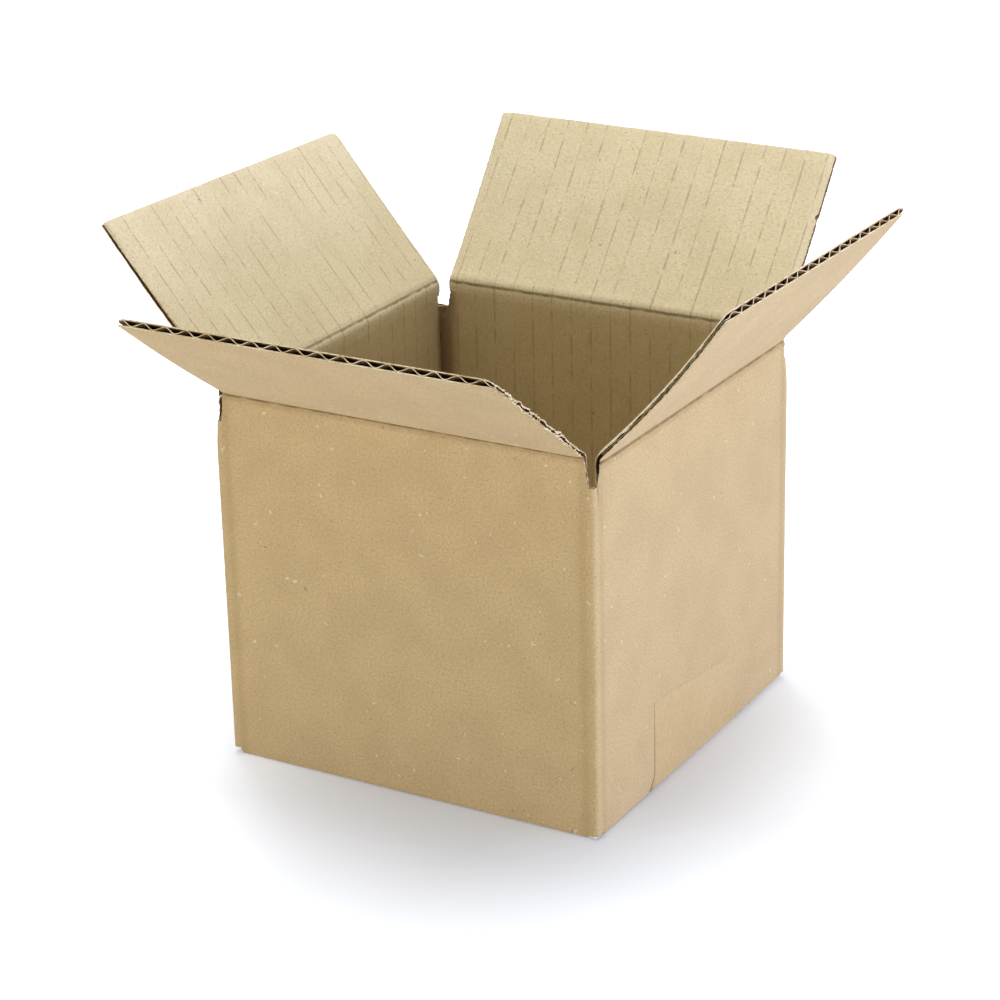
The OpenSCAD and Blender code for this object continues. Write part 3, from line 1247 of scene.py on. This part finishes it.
@dataclass
class TopFlap:
    """A top flap and the scored strip of inner sheet that joins it to its wall."""

    name: str
    wall: Wall
    board: Board
    cut: FlapCut
    strip_half: float = 3.0
    groove: float = 0.16
    groove_half: float = 0.8
    strip_shade: float = 0.13
    score_share: float = 0.65
    side_width: float = 4.0
    fray_width: float = 0.7
    nick_depth: float = 0.7
    bend_run: float = 0.6
    edge_pinch: float = 0.08
    wave_short: float = 0.12
    column_step: float = 2.4
    row_step: float = 0.0095
    wave_columns: float = 0.4
    strip_columns: float = 1.9
    strip_rows: int = 33
    turns_found: int = 30
    fine: tuple[float, ...] = (0.25, 0.6, 1.1, 1.9, 3.0)

    @property
    def body(self) -> str:
        """The moving body that the flap belongs to, which is also the CAD node's name."""
        return self.name

    def _side_edges(self, share: Array, seed: int) -> tuple[Array, Array]:
        """Where the flap's side edges stand at a share of its reach, torn and nicked.

        Args:
            share: Share of the reach, 0 at the crease and 1 at the free edge.
            seed: Number that the torn lines start from.

        Returns:
            Start and end of each row.
        """
        wall, cut = self.wall, self.cut
        run = share * cut.reach[0]
        calm = np.clip(share * 12, 0, 1)
        rough = [torn_line(run, cut.torn[side], 0.6, seed + side) * calm for side in (0, 1)]
        nick = self.nick_depth * hump(run, cut.nick_at, 0.8) * (cut.nick_at > 0)
        start = wall.start + cut.lean[0] * share + rough[0] + nick
        end = wall.end + cut.lean[1] * share + rough[1] - self._tuck(run)
        return start, end

    def _tuck(self, reach: Array) -> Array:
        """How much shorter the flap is at its right end near the crease, tuck x (1 - t) there."""
        t = np.clip(np.asarray(reach) / self.cut.reach[0], 0, 1)
        return self.cut.tuck_end * np.clip(t * 28, 0, 1) * (1 - t)

    def _grid(self, places: Array, rows: Array, low: float, seed: int) -> tuple[Array, Array]:
        """Places along the wall and reaches from the crease of a grid on the flap.

        Args:
            places: Places of the columns between the flap's straight sides.
            rows: Shares of the reach.
            low: Reach of the first row.
            seed: Number that the torn lines start from.

        Returns:
            Along and reach, each columns by rows.
        """
        wall, cut = self.wall, self.cut
        start, end = self._side_edges(rows, seed)
        share = wall.share(places)[:, None]
        plain_start = wall.start + cut.lean[0] * rows
        plain_end = wall.end + cut.lean[1] * rows
        along = mix(plain_start[None, :], plain_end[None, :], share)
        from_start, from_end = places - wall.start, wall.end - places
        along = along + (start - plain_start)[None, :] * fade(from_start, self.side_width)[:, None]
        along = along + (end - plain_end)[None, :] * fade(from_end, self.side_width)[:, None]
        full = mix(*cut.reach, share)
        full = full - self._corner_drop(from_start, cut.corner_r[0])[:, None]
        full = full - self._corner_drop(from_end, cut.corner_r[1])[:, None]
        full = full + torn_line(places, 0.07, 1.1, seed + 2)[:, None]
        return along, mix(low, full, rows[None, :])

    @staticmethod
    def _corner_drop(away: Array, radius: float) -> Array:
        """How much a round corner takes off the reach, r - sqrt(r^2 - (r - away)^2)."""
        inside = np.clip(radius - away, 0, radius)
        return radius - np.sqrt(radius**2 - inside**2)

    def _curl(self, along: Array, reach: Array) -> Array:
        """How far the flap bends outwards between crease and free edge, 4 x curl x t x (1 - t)."""
        t = np.clip(np.asarray(reach) / self.cut.reach[0], 0, 1)
        return 4 * mix(*self.cut.curl, self.wall.share(along)) * t * (1 - t)

    def _late_bend(self, along: Array, reach: Array) -> Array:
        """How far the flap lies behind its hinge line, bend x (1 - exp(-reach / bend_run))."""
        rise = 1 - np.exp(-np.maximum(reach, 0) / self.bend_run)
        return mix(*self.cut.bend, self.wall.share(along)) * rise

    def _fray(self, along: Array, reach: Array, seed: int) -> tuple[Array, Array]:
        """How far torn bits of paper stand up or down at the side edges, and how fluffed they are.

        Args:
            along: Distance from the wall's middle, columns by rows.
            reach: Distance from the crease.
            seed: Number that the torn line starts from.

        Returns:
            The bits' height, and the paper's extra thickness.
        """
        wall, cut = self.wall, self.cut
        calm = np.clip(reach[0] / 4, 0, 1)
        bits = torn_line(reach[0], 1.0, 0.5, seed) * calm
        fluff = (0.5 + torn_line(reach[0], 0.5, 0.6, seed + 3)) * calm
        at_start = fade(along - wall.start, self.fray_width) * cut.fray[0]
        at_end = fade(wall.end - along, self.fray_width) * cut.fray[1]
        return bits[None, :] * (at_start + at_end), fluff[None, :] * (at_start + at_end)

    def _points(self, along: Array, reach: Array, offset: Array) -> Array:
        """Points of the flap at an offset under its outer face, with its crush, bend and curl.

        Args:
            along: Distance from the wall's middle.
            reach: Distance from the crease.
            offset: Distance under the outer face, in sound board.

        Returns:
            The points.
        """
        firm = self.wall.crushed(along, offset, self.board.thickness)
        shift = self._late_bend(along, reach) - self._curl(along, reach)
        return self.wall.leaf(along, reach, firm + shift)

    def build_leaf(self, finishes: Finishes) -> bpy.types.Object:
        """Builds the flap's three sheets as one piece.

        Args:
            finishes: The shared materials.

        Returns:
            The flap.
        """
        wall, board, seed = self.wall, self.board, self.cut.seed
        mesh = SkinMesh()
        places = spread(wall.start, wall.end, self.column_step, self.fine)
        even_rows = spread(0.0, 1.0, self.row_step, (0.004, 0.008))
        rows = np.unique(np.concatenate([even_rows, [0.02, 0.03]]))
        liner, thick = board.liner, board.thickness
        along, reach = self._grid(places, rows, 0.0, seed)
        _, back_reach = self._grid(places, rows, liner, seed)
        fray, fluff = self._fray(along, reach, seed + 50)
        face = self._points(along, reach, fray)
        back = self._points(along, back_reach, liner + fray + fluff)
        mesh.add(face, back, wall.board_place(along, reach), Paint.OUTER_SHEET)
        along, reach = self._grid(places, rows, self.strip_half, seed + 10)
        fray, fluff = self._fray(along, reach, seed + 51)
        pinch = self.edge_pinch * hump(rows, 1.0, 0.012)[None, :] + fray
        face = self._points(along, reach, thick - pinch)
        back = self._points(along, reach, thick - liner - pinch - fluff)
        mesh.add(face, back, wall.board_place(along, reach), Paint.INNER_SHEET)
        self._add_waved_sheet(mesh)
        made = mesh.build(f"{self.name}_board", finishes.board())
        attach(made, self.body)
        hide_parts(self.name)
        return made

    def _add_waved_sheet(self, mesh: SkinMesh) -> None:
        """Adds the waved sheet. Its thickness is laid off square to the wave.

        Args:
            mesh: The skins that it joins.
        """
        wall, board, cut = self.wall, self.board, self.cut
        places = spread(wall.start, wall.end, self.wave_columns, ())
        rows = np.linspace(0, 1, 7)
        along, reach = self._grid(places, rows, board.thickness, cut.seed + 20)
        short = 1 + torn_line(places, 0.7, 2.3, cut.seed + 30)[:, None]
        reach = reach - self.wave_short * rows[None, :] * short
        wobble = torn_line(along[:, 0], 0.035, wall.flute_pitch, cut.seed + 31)[:, None]
        depth, slope = wave_skin(wall, board, along + wobble * wall.flute_pitch)
        crush = 1 - cut.crush_start * hump(along, wall.start + 2.0, 5.0)
        depth = board.thickness / 2 + (depth - board.thickness / 2) * crush
        size = np.sqrt(1 + slope**2)
        half = board.medium / 2
        aside, up = -slope / size * half, 1 / size * half
        face = self._points(along + aside, reach, depth + up)
        back = self._points(along - aside, reach, depth - up)
        mesh.add(face, back, wall.board_place(along, reach), Paint.WAVED_SHEET)

    def build_crease(self, finishes: Finishes) -> bpy.types.Object:
        """Builds the strip of inner sheet that is scored at the crease and bends with it.

        Upright, the strip lies at the board's thickness and dips by a groove at its
        middle.

        Args:
            finishes: The shared materials.

        Returns:
            The strip.
        """
        wall, board, cut = self.wall, self.board, self.cut
        half = self.strip_half
        start = wall.place(0.0, board.thickness, wall.crease_h - half)
        end = wall.leaf(0.0, half, board.thickness + self._late_bend(0.0, half))
        along, run, dip = self._strip_grid()
        splay = wall.splay(along)
        height = run[None, :] + np.zeros_like(along)

        def turned(depth: Array) -> Array:
            """Points of the strip at a depth, once each row has its own share of the turn.

            More than half of the turn is then gathered at the score itself.

            Args:
                depth: Depth of each point in the upright strip.

            Returns:
                The points.
            """
            share = smooth_step((run + half) / (2 * half))[None, :] + np.zeros_like(along)
            for _ in range(self.turns_found):
                points = wall.leaf(along, height, depth, splay * share)
                toward = (points - start) @ (end - start) / np.dot(end - start, end - start)
                share = smooth_step(toward)
            sharp = smooth_step((run + 1.0) / 2.0)[None, :]
            return wall.leaf(along, height, depth, splay * mix(share, sharp, self.score_share))

        rise = smooth_step((height + half) / (2 * half))
        bend = self._late_bend(along, np.full_like(along, half)) * rise - self._curl(along, height)
        thick = board.thickness
        face = turned(wall.crushed(along, thick - dip, thick) + bend)
        back = turned(wall.crushed(along, thick - board.liner - dip, thick) + bend)
        mesh = SkinMesh()
        shifted = wall.board_place(along, height - cut.groove_shift)
        # Painted shade on the strip under the crease, going on from the inside wall's.
        light_shade = self.strip_shade * np.clip(-height / half, 0, 1)
        mesh.add(face, back, shifted, Paint.INNER_SHEET, shade_marks=light_shade)
        made = mesh.build(f"{self.name}_crease_strip", finishes.board())
        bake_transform(made)
        return made

    def _strip_grid(self) -> tuple[Array, Array, Array]:
        """Places of the strip's points while it is upright, with torn sides.

        Returns:
            Place along the wall of each point, height of each row above the crease, and
            how deep each row dips into the groove.
        """
        wall, cut, half = self.wall, self.cut, self.strip_half
        places = spread(wall.start, wall.end, self.strip_columns, self.fine)
        run = np.linspace(-half, half, self.strip_rows)
        dip = self.groove * hump(run, cut.groove_shift, self.groove_half)
        dip = (dip * (1 - smooth_step((np.abs(run) - half + 0.8) / 0.8)))[None, :]
        along = places[:, None] + np.zeros((1, run.size))
        near = fade(np.minimum(places - wall.start, wall.end - places), 1.5)[:, None]
        along = along + torn_line(run, 0.25, 0.7, cut.seed + 40)[None, :] * near * np.sign(along)
        along = along - self._tuck(run)[None, :] * fade(wall.end - places, self.side_width)[:, None]
        return along, run, dip


# Tape.


@dataclass
class ClosingTape:
    """The strip of tape along the bottom seam, with its ends turned up the side walls."""

    half_run: float = 58.0
    width: float = 50.8
    thickness: float = 0.1
    fold_r: float = 0.9
    inner_floor_z: float = 2.4
    fold_drop: float = 1.7
    right_step: float = 2.6
    left_step: float = 3.2
    swing: float = 3.2
    swing_from: float = 50.0
    swing_run: float = 6.0
    swing_low: float = 0.3
    swing_rise: float = 5.0
    swing_fall: int = 8
    # Strengths of the painted shadow at the front edge, the far edge and the fold's gap.
    edge_shadow: float = 0.85
    far_edge_shadow: float = 0.1
    fold_shadow: float = 0.8
    edge_width: float = 0.22
    wander: float = 0.06
    wander_seed: int = 77
    pattern_step: float = 6.5
    right_tail: Ends = (27.0, 21.0)
    left_tail: Ends = (24.0, 24.0)
    lift: float = 0.03
    thin_edge: float = 0.75
    saw_depth: float = 0.3
    saw_step: float = 1.3

    def _half(self, step_inset: float, lift: float) -> tuple[Array, Array]:
        """Line of half the tape from its middle, over the step and round the fold.

        Args:
            step_inset: Distance from the wall to the outer bottom flaps' side edge.
            lift: Distance of the line outside the board.

        Returns:
            Places across the box and heights, up to the lower end of the tail.
        """
        centre_z = self.inner_floor_z + self.fold_r - self.fold_drop
        centre = np.array([self.half_run - self.fold_r, centre_z])
        corner = np.array([self.half_run - step_inset, self.thickness])
        reach = corner - centre
        leave = math.atan2(reach[1], reach[0]) + math.acos(self.fold_r / np.linalg.norm(reach))
        angle = np.linspace(leave, 0.0, 9)
        radius = self.fold_r + self.lift + lift
        arc_x = centre[0] + radius * np.cos(angle)
        arc_z = centre[1] + radius * np.sin(angle)
        flat_x = np.linspace(0, corner[0], 24)
        flat_z = np.full_like(flat_x, self.thickness - lift)
        slope_x = np.linspace(corner[0], arc_x[0], 5)[1:-1]
        slope_z = np.linspace(self.thickness - lift, arc_z[0], 5)[1:-1]
        return np.concatenate([flat_x, slope_x, arc_x]), np.concatenate([flat_z, slope_z, arc_z])

    def _line(self, lift: float, width_share: Array) -> tuple[Array, Array]:
        """The whole line from the left tail's end to the right one's, for places across the width.

        Args:
            lift: Distance of the line outside the board.
            width_share: Places across the tape, 0 at its front edge and 1 at its back edge.

        Returns:
            Places across the box and heights, each width by length.
        """
        rise = np.linspace(0, 1, 15)[None, 1:]
        saw_place = (width_share * self.width / self.saw_step) % 1.0
        saw = self.saw_depth * np.abs(saw_place - 0.5)[:, None]
        ones = np.ones((width_share.size, 1))
        thinner = 1 - self.thin_edge * smooth_step((rise - 0.8) / 0.2)
        wall_x = self.half_run + 0.02 + lift * thinner * ones
        lines = []
        for step, tail in ((self.left_step, self.left_tail), (self.right_step, self.right_tail)):
            x, z = self._half(step, lift)
            tail_z = mix(z[-1], mix(*tail, width_share)[:, None] - saw, rise)
            pairs = (x * ones, wall_x), (z * ones, tail_z)
            lines.append([np.concatenate(pair, axis=1) for pair in pairs])
        (left_x, left_z), (right_x, right_z) = lines
        whole_x = np.concatenate([-left_x[:, :0:-1], right_x], axis=1)
        return whole_x, np.concatenate([left_z[:, :0:-1], right_z], axis=1)

    def _painted_shadows(self, from_front: Array, height: Array, low: Array) -> Array:
        """Painted shadow on the tape: along its edges, and in the gap where its swung corner folds.

        Args:
            from_front: Distance from the tape's front edge.
            height: Height of each point.
            low: Share of the swing that each point has.

        Returns:
            Marks from 0 to 1, width by length.
        """
        front = hump(from_front, 0.0, self.edge_width) * (1 - 0.75 * smooth_step(height / 26.0))
        far = self.far_edge_shadow * hump(from_front, self.width, self.edge_width)
        wedge_shadow = hump(from_front, 0.5, 1.2) * low * (1 - smooth_step((height - 0.8) / 2.0))
        return np.clip(self.edge_shadow * front + far + self.fold_shadow * wedge_shadow, 0, 1)

    def build(self, finishes: Finishes) -> bpy.types.Object:
        """Builds the tape.

        Args:
            finishes: The shared materials.

        Returns:
            The tape.
        """
        share = spread(0, self.width, 0.66, (0.14, 0.3, 0.5)) / self.width
        across = (share - 0.5) * self.width
        out_x, out_z = self._line(self.thickness - 0.01, share)
        in_x, in_z = self._line(0.0, share)
        uneven = torn_line(out_z[0], self.wander, 4.0, self.wander_seed)[None, :]
        rising = 1 - smooth_step((out_z - self.swing_low) / self.swing_rise)
        low = smooth_step((out_x - self.swing_from) / self.swing_run) * rising
        y = across[:, None] + uneven - self.swing * low * (1 - share[:, None]) ** self.swing_fall
        face = np.stack([out_x, y, out_z], axis=-1)
        back = np.stack([in_x, y, in_z], axis=-1)
        places = np.stack([y, out_x + out_z], axis=-1) / self.pattern_step
        shade_marks = self._painted_shadows((share * self.width)[:, None], out_z, low)
        mesh = SkinMesh()
        mesh.add(face, back, places, Paint.TAPE, shade_marks=shade_marks)
        made = mesh.build("closing_tape", [finishes.tape])
        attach(made, "carton")
        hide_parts("bottom_tape")
        return made


# The whole box.


@dataclass
class ShippingBox:
    """The whole box: tube, four top flaps with their creases, and tape."""

    board: Board = field(default_factory=Board)
    side_crease_h: float = 105.0
    outer_crease_h: float = 107.3
    outer_floor_z: float = 0.1
    inner_floor_z: float = 2.4

    def walls(self) -> dict[Side, Wall]:
        """The four walls, with flutes that count on from one wall to the next.

        Returns:
            Walls by side, in the order back, left, front, right.
        """
        high, low = self.outer_crease_h, self.side_crease_h
        down, up = self.outer_floor_z, self.inner_floor_z
        drawn = [
            Wall(
                Side.BACK, high, down, start_inset=1.8, end_inset=5.9, splay_deg=40.6,
                tip_at=4.1, flute_pitch=6.46, twist_deg=-0.6,
            ),
            Wall(
                Side.LEFT, low, up, start_inset=1.5, end_inset=2.5, splay_deg=39.6,
                tip_at=3.0, twist_deg=0.1, fold_drop=(1.5, 1.5), crush_from=0.9,
            ),
            Wall(
                Side.FRONT, high, down, start_inset=2.95, end_inset=2.95, splay_deg=53.8,
                tip_at=5.75, flute_pitch=6.57, twist_deg=-0.3, crush=0.38,
            ),
            Wall(
                Side.RIGHT, low, up, start_inset=3.65, end_inset=2.4, splay_deg=40.5,
                tip_at=2.45, flute_pitch=6.44, twist_deg=0.3, fold_drop=(2.1, 1.3),
            ),
        ]
        placed: dict[Side, Wall] = {}
        count = 0.0
        corner_run = CORNER_R * math.pi / 2
        for wall in drawn:
            reach = wall.half_run - CORNER_R
            first = wall.flutes(-reach)
            lift = math.ceil(count + 0.1 - first)
            placed[wall.side] = replace(wall, flute_start=lift)
            count = placed[wall.side].flutes(reach) + corner_run / wall.flute_pitch
        return placed

    def flaps(self, walls: dict[Side, Wall]) -> list[TopFlap]:
        """The four top flaps.

        Args:
            walls: The walls that they hang on.

        Returns:
            The flaps.
        """
        cuts = {
            Side.FRONT: FlapCut(
                reach=(54.4, 54.9),
                lean=(0.5, 0.0),
                curl=(0.5, -0.15),
                bend=(0.14, -0.5),
                torn=(0.1, 0.6),
                fray=(0.08, 0.7),
                seed=100,
            ),
            Side.RIGHT: FlapCut(
                reach=(54.7, 54.7),
                curl=(1.3, 0.65),
                bend=(0.6, 0.35),
                torn=(0.2, 0.1),
                fray=(0.3, 0.08),
                crush_start=0.5,
                seed=200,
            ),
            Side.BACK: FlapCut(
                reach=(54.5, 55.0),
                lean=(0.1, 0.9),
                curl=(0.7, 0.35),
                bend=(-0.2, -0.1),
                nick_at=34.0,
                groove_shift=-0.4,
                seed=300,
            ),
            Side.LEFT: FlapCut(
                reach=(54.3, 56.1),
                lean=(0.4, 0.0),
                curl=(0.2, 0.65),
                bend=(0.6, 0.1),
                corner_r=(2.0, 0.4),
                tuck_end=2.0,
                groove_shift=0.6,
                seed=400,
            ),
        }
        return [
            TopFlap(f"{side.name.lower()}_flap", walls[side], self.board, cut)
            for side, cut in cuts.items()
        ]

    def build(self, finishes: Finishes) -> list[bpy.types.Object]:
        """Builds every piece of the box.

        Args:
            finishes: The shared materials.

        Returns:
            The pieces.
        """
        walls = self.walls()
        tube = CartonTube(list(walls.values()), self.board)
        mesh = tube.board_mesh()
        GlueTab(walls[Side.RIGHT], self.board).add_to(mesh)
        carton = mesh.build("carton_board", finishes.board())
        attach(carton, "carton")
        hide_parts("box_body")
        pieces = [carton]
        for flap in self.flaps(walls):
            pieces.append(flap.build_leaf(finishes))
            pieces.append(flap.build_crease(finishes))
        pieces.append(ClosingTape().build(finishes))
        return pieces


# Studio.


@dataclass(frozen=True)
class Lamp:
    """A soft box lamp that points at the box. Places and sizes are in metres."""

    name: str
    place: tuple[float, float, float]
    size: tuple[float, float]
    power: float
    colour: tuple[float, float, float] = (1.0, 1.0, 1.0)
    aim: tuple[float, float, float] = (0.0, 0.0, 0.05)

    def build(self) -> bpy.types.Object:
        """Makes the lamp.

        Returns:
            The lamp's object.
        """
        data = bpy.data.lights.new(self.name, "AREA")
        data.shape = "RECTANGLE"
        data.size, data.size_y = self.size
        data.energy = self.power
        data.color = self.colour
        made = bpy.data.objects.new(self.name, data)
        made.location = self.place
        direction = Vector(self.aim) - Vector(self.place)
        made.rotation_euler = direction.to_track_quat("-Z", "Y").to_euler()
        bpy.context.scene.collection.objects.link(made)
        return made


@dataclass
class Studio:
    """White table, soft light and the camera.

    The table and the world show as cool white, and the light that the table gives back to
    the box is warmer.
    """

    world_colour: tuple[float, float, float, float] = (0.97, 0.985, 1.0, 1.0)
    world_strength: float = 0.3
    # The smaller lift near the box paints a shadow round it on the table.
    painted_shadow_lift: float = 0.14
    far_lift: float = 0.54
    near_place: float = 0.055
    far_place: float = 0.145
    shade_axes: tuple[tuple[float, float, float], ...] = ((1.166, 0.682, 0.0), (-0.470, 0.804, 0.0))
    floor_size: float = 6.0
    camera_place: tuple[float, float, float] = (0.39038, -0.67241, 0.37077)
    camera_pitch_deg: float = 68.596
    camera_yaw_deg: float = 30.356
    camera_roll_deg: float = -1.359
    camera_lens: float = 107.44
    lamps: tuple[Lamp, ...] = (
        Lamp("key_lamp", (-0.36, 0.36, 1.3), (0.4, 0.4), 7.4),
        Lamp("top_lamp", (0.0, 0.0, 1.3), (0.6, 0.6), 5.0),
        Lamp("right_strip", (1.2, 0.1, 0.16), (1.0, 0.3), 7.0, (0.93, 1.0, 1.38)),
        Lamp("near_strip", (1.0, -0.65, 0.16), (1.0, 0.3), 2.5, (0.93, 1.0, 1.2)),
        Lamp("left_strip", (-0.7, -1.0, 0.16), (1.0, 0.3), 4.0, (1.04, 1.0, 0.92)),
    )

    def build(self) -> None:
        """Builds the table, the lamps, the world and the camera."""
        self._floor()
        for lamp in self.lamps:
            lamp.build()
        self._world()
        self._camera()

    def _floor(self) -> None:
        """Builds the pale table, lifted to white, and more so away from the box, so that the smaller lift
        near it paints a shadow round the box.

        The lift eases from painted_shadow_lift at near_place from the middle to far_lift at
        far_place, with distances measured along shade_axes, which count those to the right
        and left larger than those to the front and back.
        """
        half = self.floor_size / 2
        mesh = bpy.data.meshes.new("table_top")
        corners = [(-half, -half, 0), (half, -half, 0), (half, half, 0), (-half, half, 0)]
        mesh.from_pydata(corners, [], [(0, 1, 2, 3)])
        floor = bpy.data.objects.new("table_top", mesh)
        bpy.context.scene.collection.objects.link(floor)
        g = Graph(bpy.data.materials.new("table_white"))
        place, seen = g.object_place(), g.seen()
        grain = g.noise(place, 25.0, 2.0)
        cool = g.blend(grain, (0.82, 0.875, 0.965, 1.0), (0.845, 0.9, 0.985, 1.0))
        warm = g.blend(grain, (0.82, 0.79, 0.68, 1.0), (0.84, 0.81, 0.7, 1.0))
        paint = g.node("ShaderNodeBsdfDiffuse", {"Color": g.blend(seen, warm, cool), "Roughness": 0.0})
        sides = []
        for axis in self.shade_axes:
            made = g.node("ShaderNodeVectorMath", {0: place, 1: axis}, operation="DOT_PRODUCT")
            sides.append(made.outputs["Value"])
        away = g.node("ShaderNodeVectorMath", {0: g.vector(*sides)}, operation="LENGTH").outputs["Value"]
        # Painted shadow: the table is lifted less near the box.
        lift = g.ramp(away, self.near_place, self.far_place, self.painted_shadow_lift, self.far_lift)
        glow = g.node("ShaderNodeEmission", {"Color": WHITE, "Strength": g.times(seen, lift)})
        surface = g.node("ShaderNodeAddShader", {0: paint.outputs[0], 1: glow.outputs[0]})
        g.node("ShaderNodeOutputMaterial", {"Surface": surface.outputs[0]})
        mesh.materials.append(g.owner)

    def _world(self) -> None:
        """Sets an even pale world that shows as white."""
        g = Graph(bpy.data.worlds.new("studio_world"))
        soft = g.node("ShaderNodeBackground", {"Color": self.world_colour, "Strength": self.world_strength})
        white = g.node("ShaderNodeBackground", {"Color": WHITE, "Strength": 1.0})
        shown = g.node("ShaderNodeMixShader", {0: g.seen(), 1: soft.outputs[0], 2: white.outputs[0]})
        g.node("ShaderNodeOutputWorld", {"Surface": shown.outputs[0]})
        bpy.context.scene.world = g.owner

    def _camera(self) -> None:
        """Places the camera as the photograph's was."""
        data = bpy.data.cameras.new("camera")
        data.lens = self.camera_lens
        data.sensor_width = 36.0
        data.clip_start = 0.01
        data.clip_end = 50.0
        camera = bpy.data.objects.new("camera", data)
        yaw = Matrix.Rotation(math.radians(self.camera_yaw_deg), 3, "Z")
        pitch = Matrix.Rotation(math.radians(self.camera_pitch_deg), 3, "X")
        roll = Matrix.Rotation(math.radians(self.camera_roll_deg), 3, "Z")
        camera.rotation_euler = (yaw @ pitch @ roll).to_euler()
        camera.location = self.camera_place
        bpy.context.scene.collection.objects.link(camera)
        bpy.context.scene.camera = camera
        bpy.context.scene.view_settings.view_transform = "Standard"


def write_sizes() -> None:
    """Updates the view layer."""
    bpy.context.view_layer.update()


def main() -> None:
    """Builds the box and the studio, and reports each piece."""
    logging.basicConfig(level=logging.INFO, format="%(name)s: %(message)s")
    for piece in ShippingBox().build(Finishes()):
        piece.data.calc_loop_triangles()
        LOG.info("%s: %d triangles", piece.name, len(piece.data.loop_triangles))
    Studio().build()
    write_sizes()


if __name__ == "__main__":
    main()
